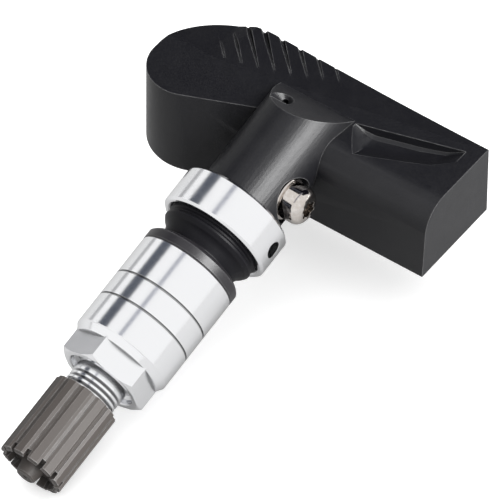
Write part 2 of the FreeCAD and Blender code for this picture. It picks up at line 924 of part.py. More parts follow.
def make_core_spring(low, high, coil_radius):
    helix = doc.addObject("Part::Helix", "spring_path")
    bind(helix, "Radius", coil_radius)
    bind(helix, "Pitch", (high - low) / d.core_spring_turns)
    bind(helix, "Height", high - low)
    section = doc.addObject("Part::Circle", "spring_section")
    bind(section, "Radius", d.core_spring_wire)
    section.Placement = Placement(Vector(coil_radius.value, 0, 0), Rotation(Vector(1, 0, 0), 90))
    section.setExpression("Placement.Base.x", coil_radius.text)
    spring = doc.addObject("Part::Sweep", "core_spring")
    spring.Sections = [section]
    spring.Spine = (helix, [])
    spring.Solid = True
    spring.Frenet = True
    spring.Label = "core_spring"
    spring.Placement = Placement(on_valve(low.value), VALVE.Rotation)
    sub_parts.append(spring)
    doc.recompute()


# ---------------------------------------------------------------- housing


def housing_outline(inset, base=False):
    """Corners and arcs of the housing's plan, drawn in by an inset: its right end, back, rounded lobe,
    slanted front and the straight front wall of its right half."""
    if base:
        left, small, small_y, back = d.left_end_base, d.lobe_radius_base, d.lobe_centre_base, d.back_base
        front = d.front_wall
    else:
        left, small, small_y, back = d.left_end_top, d.lobe_radius_top, d.lobe_centre_top, d.back_top
        front = d.front_wall + d.front_draft
    small_r = small - inset
    big_r = d.back_radius - inset
    big_y = back - d.back_radius
    right = d.right_end - inset
    back_x = left + d.back_radius + big_r * sine(d.back_slope)
    back_y = big_y + big_r * cosine(d.back_slope)
    slant_x = left + small + small_r * sine(d.slant_angle)
    slant_y = small_y - small_r * cosine(d.slant_angle)
    step_y = slant_y + (d.step_place - slant_x) * tangent(d.slant_angle)
    corners = [
        (right, front + inset),
        (right, back_y - (right - back_x) * tangent(d.back_slope)),
        (back_x, back_y),
        (left + inset, big_y),
        (left + inset, small_y),
        (slant_x, slant_y),
        (d.step_place, step_y),
        (d.step_place, front + inset),
    ]
    return corners, {2: big_r, 4: small_r}


def cavity_outline(inset):
    """The plan of the hollow: the housing's plan drawn in, and kept clear of the neck's bore."""
    corners, arcs = housing_outline(inset)
    shoulder_y = d.neck_clear_y + inset - d.housing_wall
    shoulder_x = d.neck_radius + inset - d.neck_side_clearance
    slant_x, slant_y = corners[5]
    meet_x = slant_x + (shoulder_y - slant_y) / tangent(d.slant_angle)
    front_y = corners[0][1]
    return corners[:6] + [(meet_x, shoulder_y), (shoulder_x, shoulder_y), (shoulder_x, front_y)], arcs


def make_housing():
    body = new_body("housing", HOUSING)
    make_shell(body)
    roll_front_edge(body)
    slope_start, slope = add_neck(body)
    slope_back(body)
    cut_rib_grooves(body)
    cut_scoop(body)
    cut_neck_holes(body)
    cut_cavity(body)
    port_mouth = d.top_level + (slope_start - d.port_y) * slope
    cut_pressure_port(body, port_mouth)


def make_shell(body):
    lower = new_sketch(body, "base_outline", level=d.base_level)
    draw_outline(lower, *housing_outline(0, base=True))
    upper = new_sketch(body, "top_outline", level=d.top_level)
    draw_outline(upper, *housing_outline(0))
    shell = body.newObject("PartDesign::AdditiveLoft", "shell")
    shell.Profile = lower
    shell.Sections = [upper]
    shell.Ruled = True
    doc.recompute()


def roll_front_edge(body):
    """The front edge of the right half rolls over into the top."""
    top, radius = d.top_level, d.front_roll
    wall_y = d.front_wall + d.front_draft * (1 - radius / d.housing_height)
    outside = wall_y - radius / 2
    above = top + radius / 4
    roll = new_sketch(body, "front_roll_outline", "YZ_Plane", level=d.step_place)
    draw_outline(roll, [
        (wall_y, top - radius),
        (wall_y + radius, top),
        (wall_y + radius, above),
        (outside, above),
        (outside, top - radius),
    ], {0: -radius})
    pocket(body, "front_roll_over", roll, d.right_end * 1.1, turned=True)


def add_neck(body):
    """The neck stands proud of the front and holds the valve's tail. Its top is cut on a slope down to
    the flat top; this returns where that slope starts and how steep it is."""
    neck = body.newObject("PartDesign::AdditiveCylinder", "neck")
    bind(neck, "Radius", d.neck_radius)
    bind(neck, "Height", d.neck_length)
    neck_end = on_valve(-(d.collar_length + d.neck_length).value)
    neck.Placement = in_housing(Placement(neck_end, VALVE.Rotation))
    doc.recompute()
    reach = d.collar_length + d.neck_top_length
    ridge_y = reach * cosine(d.valve_tilt) - d.neck_radius * sine(d.valve_tilt)
    ridge_z = reach * sine(d.valve_tilt) + d.neck_radius * cosine(d.valve_tilt)
    slope = tangent(d.neck_cut_angle - d.valve_tilt)
    start = ridge_y + (ridge_z - d.top_level) / slope
    above = d.neck_radius * 1.3
    behind = d.back_top * 1.1
    cut = new_sketch(body, "neck_cut_outline", "YZ_Plane")
    draw_outline(cut, [
        (start, d.top_level),
        (behind, d.top_level),
        (behind, d.top_level + above),
        (start - above / slope, d.top_level + above),
    ])
    pocket(body, "neck_cut", cut, d.neck_radius * 3, midplane=True)
    return start, slope


def slope_back(body):
    """Behind a ridge the top falls away to the back."""
    sections = []
    behind = d.back_base + d.moulded_edge * 3
    above = d.top_level + d.moulded_edge * 3
    for number in range(1, RIDGE_SECTIONS + 1):
        ridge = d.numbered("ridge_y", number)
        fall = d.numbered("ridge_drop", number) / (d.back_top - ridge)
        section = new_sketch(body, f"ridge_section_{number}", "YZ_Plane",
                             level=d.numbered("ridge_x", number))
        draw_outline(section, [
            (ridge, d.top_level),
            (behind, d.top_level - fall * (behind - ridge)),
            (behind, above),
            (ridge, above),
        ])
        sections.append(section)
    subtract_loft(body, "back_fall", sections)


def subtract_loft(body, name, sections):
    before = body.Shape.Volume
    loft = body.newObject("PartDesign::SubtractiveLoft", name)
    loft.Profile = sections[0]
    loft.Sections = sections[1:]
    loft.Ruled = True
    finish_cut(body, name, before)


def cut_rib_grooves(body):
    """Diagonal grooves that deepen towards the back leave a row of ribs on the falling part."""
    along = Vector(-1, 1, -d.rib_groove_fall.value)
    turn = Rotation(Vector(-1, -1, 0), Vector(0, 0, 1), along, "ZXY")
    floor = d.rib_groove_floor
    rise = d.rib_groove_rise
    flare = floor + rise * d.rib_groove_flare
    for number in range(int(d.rib_count.value)):
        x = d.rib_groove_x + d.rib_step_x * number
        y = d.rib_groove_y + d.rib_step_y * number
        spot = Vector(x.value, y.value, d.top_level.value)
        sketch = new_sketch(body, f"rib_groove_outline_{number + 1}", offset=Placement(spot, turn))
        draw_outline(sketch, [(-flare, rise), (-floor, -floor), (floor, -floor), (flare, rise)])
        pocket(body, f"rib_groove_{number + 1}", sketch, d.rib_groove_length, turned=True)


def cut_scoop(body):
    """A scoop in the top of the right half: a steep wall behind, a floor that rises to the front, and
    ends that fade out."""
    sections = []
    above = d.top_level + d.moulded_edge
    for number in range(1, SCOOP_SECTIONS + 1):
        x = d.scoop_left + d.scoop_length * d.numbered("scoop_share", number)
        depth = d.numbered("scoop_depth", number)
        wall_y = d.scoop_wall_y + (x - d.scoop_left) * tangent(d.scoop_slant)
        width = d.numbered("scoop_width", number)
        foot = width * d.scoop_wall_foot
        section = new_sketch(body, f"scoop_section_{number}", "YZ_Plane", level=x)
        draw_outline(section, [
            (wall_y, above),
            (wall_y - width, above),
            (wall_y - width, d.top_level),
            (wall_y - foot, d.top_level - depth),
            (wall_y - foot / 3, d.top_level - depth * 0.8),
        ], {2: d.numbered("scoop_floor", number)})
        sections.append(section)
    subtract_loft(body, "scoop", sections)


def cut_neck_holes(body):
    """The neck's bore, the screw's seat and its hole."""
    bore_end = -(d.collar_length + d.tail_length + d.fine_edge * 2)
    cut_cylinder(body, "neck_bore", d.tail_radius + d.seated_fit, d.neck_length, VALVE, bore_end)
    seat_radius = d.screw_washer_radius + d.screw_seat_margin
    cut_cylinder(body, "screw_seat_cut", seat_radius, d.screw_seat * 2, SCREW, d.screw_seat)
    hole_radius = d.screw_radius + d.screw_hole_clearance
    cut_cylinder(body, "screw_hole", hole_radius, d.screw_seat * 2.1, SCREW, -d.screw_seat)


def cut_cavity(body):
    """The hollow for the electronics, with a ledge for the base cover."""
    hollow = new_sketch(body, "cavity_outline", level=d.base_level)
    draw_outline(hollow, *cavity_outline(d.housing_wall))
    pocket(body, "cavity", hollow, d.ceiling_level - d.base_level, turned=True)
    ledge = new_sketch(body, "ledge_outline", level=d.base_level)
    draw_outline(ledge, *cavity_outline(d.housing_wall - d.cover_ledge))
    pocket(body, "cover_ledge_cut", ledge, d.cover_thickness, turned=True)


def cut_pressure_port(body, mouth):
    """Air reaches the pressure chip through a small port with a dished mouth in the neck's slope."""
    port = HOUSING.multiply(Placement(Vector(d.port_x.value, d.port_y.value, 0), Rotation()))
    below = d.ceiling_level - d.moulded_edge
    cut_cylinder(body, "pressure_port", d.port_radius, mouth - below + d.port_dish_radius, port, below)
    before = body.Shape.Volume
    rise = d.port_dish_depth * 2
    spread = (d.port_dish_radius - d.port_radius) / d.port_dish_depth
    dish = body.newObject("PartDesign::SubtractiveCone", "port_dish")
    bind(dish, "Radius1", d.port_radius)
    bind(dish, "Radius2", d.port_radius + rise * spread)
    bind(dish, "Height", rise)
    start = (mouth - d.port_dish_depth).value
    dish.Placement = Placement(Vector(d.port_x.value, d.port_y.value, start), Rotation())
    finish_cut(body, "port_dish", before)


def cut_cylinder(body, name, radius, height, axis, start):
    """A round hole in the housing along the Z axis of a placement, from a distance along it."""
    before = body.Shape.Volume
    feature = body.newObject("PartDesign::SubtractiveCylinder", name)
    bind(feature, "Radius", radius)
    bind(feature, "Height", height)
    feature.Placement = in_housing(Placement(axis.multVec(Vector(0, 0, start.value)), axis.Rotation))
    finish_cut(body, name, before)


def make_base_cover():
    body = new_body("base_cover", HOUSING)
    plate = new_sketch(body, "plate_outline", level=d.base_level)
    draw_outline(plate, *cavity_outline(d.housing_wall - d.cover_ledge + d.running_fit))
    pad(body, "plate", plate, d.cover_thickness)
    posts = new_sketch(body, "post_outline", level=d.base_level + d.cover_thickness)
    for side, inset, y in POSTS:
        x = d.right_end - inset if side == "right" else d.left_end_top + inset
        draw_circle(posts, x, y, d.post_radius)
    pad(body, "posts", posts, d.board_height - d.cover_thickness)


# ---------------------------------------------------------------- electronics


def make_circuit_board():
    body = new_body("circuit_board", HOUSING)
    outline = new_sketch(body, "board_outline", level=d.board_level)
    draw_outline(outline, *cavity_outline(d.housing_wall + d.board_gap))
    pad(body, "board", outline, d.board_thickness)


def make_electronics():
    make_coin_cell()
    make_pressure_sensor()
    make_coil()
    block("crystal", 6.5, d.part_row_back, d.board_top, d.crystal_length, d.crystal_width, d.crystal_height)
    make_chip_group("chip_capacitors", CAPACITORS, d.capacitor_height)
    make_chip_group("chip_resistors", RESISTORS, d.resistor_height)
    make_antenna()


def make_coin_cell():
    low = d.board_top + d.cell_step
    lid_top = low + d.cell_step
    high = low + d.cell_thickness
    cell = new_body("coin_cell", HOUSING)
    can = new_sketch(cell, "can_outline", level=lid_top)
    draw_circle(can, d.cell_x, d.cell_y, d.cell_radius)
    pad(cell, "can", can, d.cell_thickness - d.cell_step)
    lid = new_sketch(cell, "lid_outline", level=low)
    draw_circle(lid, d.cell_x, d.cell_y, d.cell_radius - d.cell_lid_margin)
    pad(cell, "lid", lid, d.cell_step)
    side = d.tab_spacing / 2
    make_tab("battery_tab_positive", d.cell_y + side, high, high + d.tab_thickness)
    make_tab("battery_tab_negative", d.cell_y - side, low - d.tab_thickness, low)


def make_tab(label, y, low, high):
    """A bent nickel strip: one leg along the cell, one down to the board."""
    body = new_body(label, HOUSING)
    side = new_sketch(body, "side_outline", "XZ_Plane", level=-(y + d.tab_width / 2))
    start = d.cell_x - d.tab_width
    foot = d.cell_x + d.cell_radius + d.cell_step
    outside = foot + d.tab_thickness
    draw_outline(side, [
        (start, low), (foot, low), (foot, d.board_top), (outside, d.board_top), (outside, high),
        (start, high),
    ])
    pad(body, "strip", side, d.tab_width)


def make_pressure_sensor():
    centre_y = d.port_y + d.chip_offset
    block("pressure_sensor", d.port_x, centre_y, d.board_top, d.chip_size, d.chip_size, d.chip_height)
    port = Placement(Vector(d.port_x.value, d.port_y.value, 0), Rotation())
    gasket = new_body("port_gasket", HOUSING.multiply(port))
    chip_top = d.board_top + d.chip_height
    add_revolution(gasket, "moulding", [
        (d.port_radius, chip_top),
        (d.gasket_radius, chip_top),
        (d.gasket_radius, d.ceiling_level - d.moulded_edge),
        (d.gasket_radius - d.moulded_edge, d.ceiling_level),
        (d.port_radius, d.ceiling_level),
    ])


def make_coil():
    """A bobbin-shaped ferrite core that lies on the board, with the winding in its waist."""
    x, y = d.coil_x, d.coil_y
    long, wide = d.coil_length / 2, d.coil_width / 2
    core = new_body("lf_coil_core", HOUSING)
    outline = new_sketch(core, "core_outline", level=d.board_top)
    draw_outline(outline, box_corners(x, y, long, -wide, wide))
    pad(core, "core", outline, d.coil_height)
    waist = new_sketch(core, "waist_outline", level=d.board_top)
    web = d.coil_web / 2
    inside = long - d.coil_flange
    for low, high in ((-wide - web, -web), (web, wide + web)):
        draw_outline(waist, box_corners(x, y, inside, low, high))
    pocket(core, "waist", waist, d.coil_height * 1.1, turned=True)
    winding = new_body("lf_coil_winding", HOUSING)
    section = new_sketch(winding, "winding_outline", level=d.board_top + d.tab_thickness)
    for low, high in ((-wide, -web), (web, wide)):
        limits = (low + d.seated_fit, high - d.seated_fit)
        draw_outline(section, box_corners(x, y, inside - d.running_fit, *limits))
    pad(winding, "winding", section, d.coil_height - d.tab_thickness * 2)


def box_corners(x, y, half_length, low, high):
    return [(x - half_length, y + low), (x + half_length, y + low),
            (x + half_length, y + high), (x - half_length, y + high)]


def make_chip_group(label, places, height):
    """Identical surface-mounted chips share a node, as separate solids."""
    length = d.chip_length
    chips = [doc.addObject("Part::Box", f"{label}_{number + 1}") for number in range(len(places))]
    for chip, (x, y) in zip(chips, places):
        bind(chip, "Length", length)
        bind(chip, "Width", length / 2)
        bind(chip, "Height", height)
        corner = Vector(x - length.value / 2, y - length.value / 4, d.board_top.value)
        chip.Placement = Placement(corner, Rotation())
        chip.setExpression("Placement.Base.z", d.board_top.text)
    group = doc.addObject("Part::Compound", label)
    group.Label = label
    group.Links = chips
    group.Placement = HOUSING
    sub_parts.append(group)
    doc.recompute()


def make_antenna():
    """A wire bow that stands on the board along the back wall."""
    body = new_body("antenna", HOUSING)
    start_x, end_x = d.antenna_start.value, (d.right_end - d.antenna_end).value
    low, high = d.board_top.value, (d.board_top + d.antenna_height).value
    bend = d.antenna_bend.value
    path = new_sketch(body, "bow", "XZ_Plane", level=-d.antenna_y)
    spots = [(start_x, low), (start_x, high - bend), (start_x + bend, high), (end_x - bend, high),
             (end_x, high - bend), (end_x, low)]
    points = [Vector(x, z, 0) for x, z in spots]
    path.addGeometry(Part.LineSegment(points[0], points[1]), False)
    path.addGeometry(corner_arc(start_x + bend, high - bend, bend, 90, 180), False)
    path.addGeometry(Part.LineSegment(points[2], points[3]), False)
    path.addGeometry(corner_arc(end_x - bend, high - bend, bend, 0, 90), False)
    path.addGeometry(Part.LineSegment(points[4], points[5]), False)
    joints = ((0, 2, 1, 2), (1, 1, 2, 1), (2, 2, 3, 2), (3, 1, 4, 1))
    for first, first_end, second, second_end in joints:
        path.addConstraint(Sketcher.Constraint("Coincident", first, first_end, second, second_end))
    profile = new_sketch(body, "wire", level=d.board_top)
    draw_circle(profile, d.antenna_start, d.antenna_y, d.antenna_wire)
    doc.recompute()
    pipe = body.newObject("PartDesign::AdditivePipe", "wire_bow")
    pipe.Profile = profile
    pipe.Spine = (path, [f"Edge{number}" for number in range(1, 6)])
    doc.recompute()


def corner_arc(x, z, radius, start, end):
    circle = Part.Circle(Vector(x, z, 0), Vector(0, 0, 1), radius)
    return Part.ArcOfCircle(circle, math.radians(start), math.radians(end))


# ---------------------------------------------------------------- screw


def make_fixing_screw():
    seat = d.screw_seat
    edge = d.fine_edge
    head_low = seat + d.screw_washer_thickness
    head_top = head_low + d.screw_head_height
    point = head_low - d.screw_length
    body = new_body("fixing_screw", SCREW)
    add_revolution(body, "turning", [
        (0, point),
        (d.screw_radius - d.moulded_edge, point),
        (d.screw_radius, point + d.moulded_edge),
        (d.screw_radius, head_low),
        (d.screw_head_radius, head_low),
        (d.screw_head_radius, head_top - d.screw_head_edge),
        (d.screw_head_radius - d.screw_head_edge, head_top),
        (0, head_top),
    ], {5: d.screw_head_round})
    recess = new_sketch(body, "recess_outline", level=head_top)
    draw_circle(recess, 0, 0, d.screw_recess_radius)
    pocket(body, "recess", recess, d.screw_recess_depth)
    lobe = new_sketch(body, "recess_lobe_outline", level=head_top)
    draw_circle(lobe, d.screw_recess_radius, 0, d.screw_recess_lobe)
    cut = pocket(body, "recess_lobe", lobe, d.screw_recess_depth)
    ring_of(body, "recess_lobes", cut, lobe, Size.of(6))
    washer = new_body("screw_washer", SCREW)
    hole = d.screw_radius + d.screw_hole_clearance
    add_revolution(washer, "pressing", [
        (hole, seat),
        (d.screw_washer_radius - edge, seat),
        (d.screw_washer_radius, seat + edge),
        (d.screw_washer_radius, head_low - edge),
        (d.screw_washer_radius - edge, head_low),
        (hole, head_low),
    ])


# ---------------------------------------------------------------- checks and files


def check_document():
    for item in doc.Objects:
        if "Invalid" in item.State or "Error" in item.State:
            raise RuntimeError(f"{item.Name} failed: {item.State}")
    for item in sub_parts:
        if item.Shape.isNull() or not item.Shape.isValid() or not item.Shape.Solids:
            raise RuntimeError(f"{item.Label} has no valid solid")


def write_parts():
    os.makedirs("parts", exist_ok=True)
    for item in sub_parts:
        item.Shape.exportStep(os.path.join("parts", f"{item.Label}.step"))
        print(f"{item.Label}: {item.Shape.Volume:.2f} mm3, {len(item.Shape.Solids)} solid")


make_valve_stem()
make_rim_seal()
make_nut_washer()
make_sleeve_nut()
make_cap()
make_valve_core()
make_housing()
make_base_cover()
make_circuit_board()
make_electronics()
make_fixing_screw()
doc.recompute()
check_document()
write_parts()
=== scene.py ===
"""Clamp-in tyre pressure sensor: the finish of each piece and the studio that it stands in.

Laid out as a Blender add-on and run as a script. Everything is in metres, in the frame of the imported
model: +X runs along the housing to its flat end, +Z is the housing's top, and the valve leaves
towards -Y, dipping.
"""
import json
import math

import bmesh
import bpy
from bpy.props import FloatProperty, FloatVectorProperty, IntProperty, PointerProperty
from mathutils import Matrix, Vector

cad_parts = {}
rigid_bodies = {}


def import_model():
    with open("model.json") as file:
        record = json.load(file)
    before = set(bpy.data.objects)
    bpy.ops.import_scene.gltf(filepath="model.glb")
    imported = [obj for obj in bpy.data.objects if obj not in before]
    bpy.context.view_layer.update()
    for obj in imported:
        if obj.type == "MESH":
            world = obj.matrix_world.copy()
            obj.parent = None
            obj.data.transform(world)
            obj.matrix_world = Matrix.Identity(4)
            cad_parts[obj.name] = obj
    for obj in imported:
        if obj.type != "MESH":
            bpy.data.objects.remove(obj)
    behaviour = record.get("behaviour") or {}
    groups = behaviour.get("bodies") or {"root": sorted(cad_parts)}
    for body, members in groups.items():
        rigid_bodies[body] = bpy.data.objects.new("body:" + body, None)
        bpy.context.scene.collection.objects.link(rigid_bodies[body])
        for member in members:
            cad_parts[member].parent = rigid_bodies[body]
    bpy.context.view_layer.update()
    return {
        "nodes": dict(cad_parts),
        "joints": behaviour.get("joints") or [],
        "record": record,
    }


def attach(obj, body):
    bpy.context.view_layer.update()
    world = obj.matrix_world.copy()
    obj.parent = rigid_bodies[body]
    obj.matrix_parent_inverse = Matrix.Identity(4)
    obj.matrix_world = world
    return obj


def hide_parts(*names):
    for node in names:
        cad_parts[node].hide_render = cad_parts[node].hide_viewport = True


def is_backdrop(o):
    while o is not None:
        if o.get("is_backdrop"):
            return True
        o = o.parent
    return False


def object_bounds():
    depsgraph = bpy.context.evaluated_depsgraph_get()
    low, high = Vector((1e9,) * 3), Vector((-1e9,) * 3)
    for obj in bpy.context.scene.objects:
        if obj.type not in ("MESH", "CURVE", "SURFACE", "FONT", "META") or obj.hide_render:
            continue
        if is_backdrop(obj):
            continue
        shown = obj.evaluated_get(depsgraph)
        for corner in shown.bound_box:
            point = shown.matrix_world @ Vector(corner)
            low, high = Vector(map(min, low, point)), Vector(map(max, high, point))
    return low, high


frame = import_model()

bl_info = {
    "name": "Tyre pressure sensor",
    "version": (1, 0, 0),
    "blender": (4, 5, 0),
    "location": "3D View > Sidebar > Pressure Sensor",
    "description": "Finishes every piece of a clamp-in tyre pressure sensor and sets up its studio",
    "category": "Object",
}

MM = 0.001
JOINTS = {joint["name"]: joint for joint in frame["joints"]}
VALVE_AXIS = Vector(JOINTS["nut_travel"]["axis"]).normalized()
RIM_SEAT = Vector((0.0, 0.0, 0.0))
UPWARDS = Vector((0.0, 0.0, 1.0))
BODY_OF_NODE = {
    node: body
    for body, members in frame["record"]["behaviour"]["bodies"].items()
    for node in members
}
MOULDED_NODES = ("housing", "base_cover", "rim_seal", "nut_washer", "cap_body")

# Meshes: points this close are one, faces this flat are one, and creases sharper than this stay sharp
MERGE_DISTANCE = 0.0005 * MM
FLAT_ANGLE = math.radians(0.6)
CREASE_ANGLE = math.radians(14.0)
ROUNDED_EDGE_ANGLE = math.radians(32.0)

# Surfaces: the depth of each kind's finest relief
PLASTIC_IOR = 1.5
PLASTIC_GRAIN = 0.20 * MM
PLASTIC_GRAIN_DEPTH = 0.018 * MM
RUBBER_GRAIN = 0.10 * MM
RUBBER_GRAIN_DEPTH = 0.003 * MM
RUBBER_EDGE_RADIUS = 0.15 * MM
TOOL_MARK_DEPTH = 0.0007 * MM
SCRATCH_DEPTH = 0.001 * MM

# Studio: cards that the barrel of the valve shows, at an angle from its middle
CARD_DISTANCE = 0.8
CARD_LENGTH = 1.4
BARREL_CARDS = (
    # name, angle in degrees, width, colour
    ("broad_dark_card", -37.0, 0.34, (0.085, 0.095, 0.12)),
    ("narrow_dark_card", -13.5, 0.11, (0.35, 0.36, 0.42)),
    ("grey_card", -56.0, 0.16, (0.40, 0.40, 0.41)),
)
TOP_CARD_DISTANCE = 0.85
TOP_CARD_SIZE = 1.6
TOP_CARD_COLOUR = (0.008, 0.008, 0.013)
TOP_CARD_SHIFT = Vector((0.1, 0.5, -0.25))
FLOOR_GAP = 0.2 * MM
FLOOR_HALF_WIDTH = 3.0


# ---------------------------------------------------------------- settings


class SENSOR_PG_studio(bpy.types.PropertyGroup):
    """Where the camera stands and how bright the studio is."""

    azimuth: FloatProperty(
        name="Azimuth", description="Camera angle round the sensor", default=math.radians(38.1),
        subtype="ANGLE")
    elevation: FloatProperty(
        name="Elevation", description="Camera angle above the floor", default=math.radians(47.4),
        subtype="ANGLE")
    distance: FloatProperty(
        name="Distance", description="From the camera to the sensor", default=0.83, unit="LENGTH")
    focal_length: FloatProperty(
        name="Focal length", description="Camera lens in millimetres", default=433.3)
    aim_right: FloatProperty(
        name="Aim right", description="Picture centre, to the right of the rim seat",
        default=5.17 * MM, unit="LENGTH")
    aim_up: FloatProperty(
        name="Aim up", description="Picture centre, above the rim seat", default=-1.59 * MM,
        unit="LENGTH")
    surroundings: FloatProperty(
        name="Surroundings", description="Brightness of the white walls", default=1.0, min=0.0)
    floor_colour: FloatVectorProperty(
        name="Floor", description="Colour of the plain floor", default=(0.93, 0.93, 0.93),
        subtype="COLOR")
    floor_fade: FloatProperty(
        name="Floor fade", description="How much darker the floor is in reflections", default=0.42,
        min=0.0, max=1.0)
    floor_lift: FloatProperty(
        name="Floor lift", description="Evens out the floor's shadows in the picture", default=0.35,
        min=0.0, max=1.0)
    key_power: FloatProperty(
        name="Key light", description="Power of the light that draws the sheen", default=34.0, min=0.0)
    overhead_power: FloatProperty(
        name="Overhead light", description="Power of the wide light over the floor", default=26.0,
        min=0.0)


class SENSOR_PG_finish(bpy.types.PropertyGroup):
    """Colours and edge sizes of the pieces."""

    housing_colour: FloatVectorProperty(
        name="Housing", description="Black moulded plastic", default=(0.0018, 0.0018, 0.0027),
        subtype="COLOR")
    aluminium_colour: FloatVectorProperty(
        name="Aluminium", description="Turned valve and nut", default=(0.90, 0.905, 0.92),
        subtype="COLOR")
    rubber_colour: FloatVectorProperty(
        name="Rubber", description="Rim seal", default=(0.0025, 0.0024, 0.0034), subtype="COLOR")
    washer_colour: FloatVectorProperty(
        name="Nut washer", description="Dark washer under the nut", default=(0.0060, 0.0055, 0.0068),
        subtype="COLOR")
    cap_colour: FloatVectorProperty(
        name="Cap", description="Warm grey moulded cap", default=(0.032, 0.0275, 0.025),
        subtype="COLOR")
    screw_colour: FloatVectorProperty(
        name="Screw", description="Bright nickel plate", default=(0.62, 0.57, 0.53),
        subtype="COLOR")
    housing_edge: FloatProperty(
        name="Housing edges", description="Radius of the housing's moulded edges",
        default=0.28 * MM, unit="LENGTH")
    edge_steps: IntProperty(
        name="Edge steps", description="Facets across a rounded edge", default=3, min=1, max=6)


# ---------------------------------------------------------------- node groups


class NodeBuilder:
    """Adds nodes and links to a shader tree with little writing."""

    def __init__(self, tree):
        self.tree = tree

    def add(self, kind, **settings):
        node = self.tree.nodes.new(kind)
        for name, value in settings.items():
            setattr(node, name, value)
        return node

    def link(self, source, target):
        self.tree.links.new(source, target)

    def feed(self, socket, value):
        """Links a socket to another, or sets its value."""
        if isinstance(value, bpy.types.NodeSocket):
            self.link(value, socket)
        else:
            socket.default_value = value

    def math(self, operation, first, second=0.0, clamp=False):
        node = self.add("ShaderNodeMath", operation=operation, use_clamp=clamp)
        self.feed(node.inputs[0], first)
        self.feed(node.inputs[1], second)
        return node.outputs[0]

    def spread(self, value, low, high, to_low=0.0, to_high=1.0):
        """Maps a range of values to another, smoothly and clamped."""
        node = self.add("ShaderNodeMapRange", interpolation_type="SMOOTHSTEP")
        self.feed(node.inputs["Value"], value)
        limits = {"From Min": low, "From Max": high, "To Min": to_low, "To Max": to_high}
        for name, limit in limits.items():
            self.feed(node.inputs[name], limit)
        return node.outputs["Result"]

    def noise(self, vector, scale, detail=2.0, roughness=0.5):
        node = self.add("ShaderNodeTexNoise")
        self.feed(node.inputs["Vector"], vector)
        self.feed(node.inputs["Scale"], scale)
        node.inputs["Detail"].default_value = detail
        node.inputs["Roughness"].default_value = roughness
        return node.outputs["Fac"]

    def mix_colour(self, factor, first, second):
        node = self.add("ShaderNodeMix", data_type="RGBA")
        self.feed(node.inputs[0], factor)
        self.feed(node.inputs[6], first)
        self.feed(node.inputs[7], second)
        return node.outputs[2]


def new_group(name, inputs, outputs):
    """An empty shader group. Inputs are {name: (kind, default)} and outputs {name: kind}."""
    group = bpy.data.node_groups.new(name, "ShaderNodeTree")
    for label, (kind, default) in inputs.items():
        socket = group.interface.new_socket(name=label, in_out="INPUT", socket_type=kind)
        if default is not None:
            socket.default_value = default
    for label, kind in outputs.items():
        group.interface.new_socket(name=label, in_out="OUTPUT", socket_type=kind)
    build = NodeBuilder(group)
    return build, build.add("NodeGroupInput").outputs, build.add("NodeGroupOutput").inputs


def moulded_grain():
    """Spark-eroded mould texture: fine pits, and a slow drift in gloss where the melt flowed."""
    build, given, result = new_group(
        "Moulded grain",
        {"Grain size": ("NodeSocketFloat", 0.00018), "Roughness": ("NodeSocketFloat", 0.4),
         "Drift": ("NodeSocketFloat", 0.08)},
        {"Height": "NodeSocketFloat", "Roughness": "NodeSocketFloat", "Shade": "NodeSocketFloat"})
    place = build.add("ShaderNodeTexCoord").outputs["Object"]
    scale = build.math("DIVIDE", 1.0, given["Grain size"])
    pits = build.noise(place, scale, detail=2.0, roughness=0.65)
    broad = build.noise(place, 420.0, detail=3.0)
    build.link(pits, result["Height"])
    drift = build.math("MULTIPLY", build.math("SUBTRACT", broad, 0.5), given["Drift"])
    speckle = build.math("MULTIPLY", build.math("SUBTRACT", pits, 0.5), 0.18)
    rough = build.math("ADD", given["Roughness"], build.math("ADD", drift, speckle), clamp=True)
    build.link(rough, result["Roughness"])
    build.link(build.spread(pits, 0.3, 0.7), result["Shade"])
    return build.tree


def turning_marks():
    """Tool marks of a lathe: rings round the valve's axis, on its barrels and its faces."""
    build, given, result = new_group(
        "Turning marks",
        {"Axis": ("NodeSocketVector", tuple(VALVE_AXIS)), "Pitch": ("NodeSocketFloat", 0.00009),
         "Roughness": ("NodeSocketFloat", 0.2), "Spread": ("NodeSocketFloat", 0.08)},
        {"Height": "NodeSocketFloat", "Roughness": "NodeSocketFloat"})
    place = build.add("ShaderNodeTexCoord").outputs["Object"]
    dot = build.add("ShaderNodeVectorMath", operation="DOT_PRODUCT")
    build.link(place, dot.inputs[0])
    build.link(given["Axis"], dot.inputs[1])
    along = dot.outputs["Value"]
    shaft = build.add("ShaderNodeVectorMath", operation="SCALE")
    build.link(given["Axis"], shaft.inputs[0])
    build.link(along, shaft.inputs["Scale"])
    away = build.add("ShaderNodeVectorMath", operation="SUBTRACT")
    build.link(place, away.inputs[0])
    build.link(shaft.outputs[0], away.inputs[1])
    span = build.add("ShaderNodeVectorMath", operation="LENGTH")
    build.link(away.outputs[0], span.inputs[0])
    across = span.outputs["Value"]
    flat = build.add("ShaderNodeCombineXYZ")
    build.link(along, flat.inputs["X"])
    build.link(across, flat.inputs["Y"])
    scale = build.math("DIVIDE", 1.0, given["Pitch"])
    rings = build.noise(flat.outputs[0], scale, detail=3.0, roughness=0.7)
    broad = build.noise(flat.outputs[0], build.math("MULTIPLY", scale, 0.12), detail=2.0)
    smudge = build.noise(place, 260.0, detail=2.0)
    build.link(rings, result["Height"])
    uneven = build.math("ADD", build.math("SUBTRACT", broad, 0.5), build.math("SUBTRACT", smudge, 0.5))
    change = build.math("MULTIPLY", uneven, given["Spread"])
    rough = build.math("ADD", given["Roughness"], change, clamp=True)
    build.link(rough, result["Roughness"])
    return build.tree


